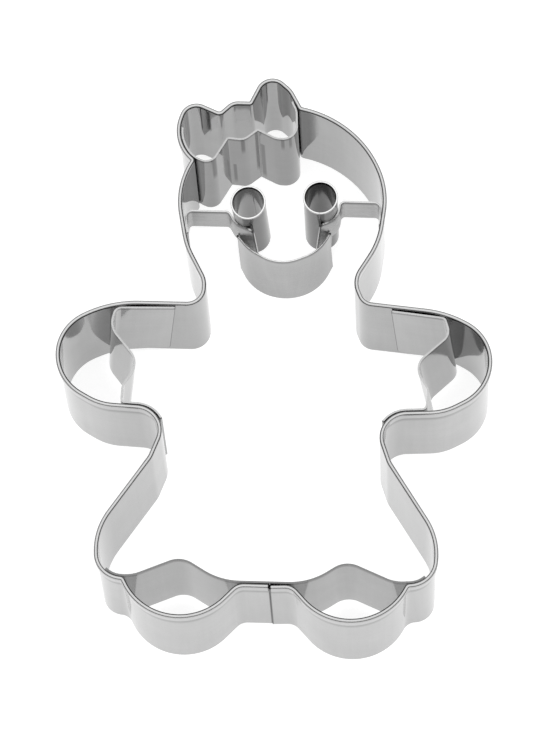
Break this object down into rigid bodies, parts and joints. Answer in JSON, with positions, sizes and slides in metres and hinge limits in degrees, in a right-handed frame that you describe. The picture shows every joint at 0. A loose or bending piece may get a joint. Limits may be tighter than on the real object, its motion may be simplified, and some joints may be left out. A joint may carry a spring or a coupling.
{
  "type": "cookie cutter",
  "caption": "Girl-shaped gingerbread cookie cutter of bent steel strip with a folded rim; inner strips and tubes press the feet, sleeves, bow, mouth and eyes.",
  "frame": {"origin": "middle of the figure's bounding box, on the plane of the cutting edge", "axes": "+Y from the feet to the bow, +Z from the cutting edge up to the folded rim, +X to the right of a viewer who looks down on the rim"},
  "size_m": [0.0794, 0.1058, 0.022],
  "materials": {
    "band": "bright rolled sheet",
    "inner_strips": "bright rolled sheet",
    "eye_tubes": "bright drawn tube"
  },
  "bodies": {
    "root": {"outer_band": "band", "feet_strip": "inner_strips", "left_sleeve_strip": "inner_strips", "right_sleeve_strip": "inner_strips", "bow_strip": "inner_strips", "mouth_strip": "inner_strips", "left_eye_clip": "inner_strips", "right_eye_clip": "inner_strips", "left_eye_tube": "eye_tubes", "right_eye_tube": "eye_tubes"}
  },
  "joints": []
}
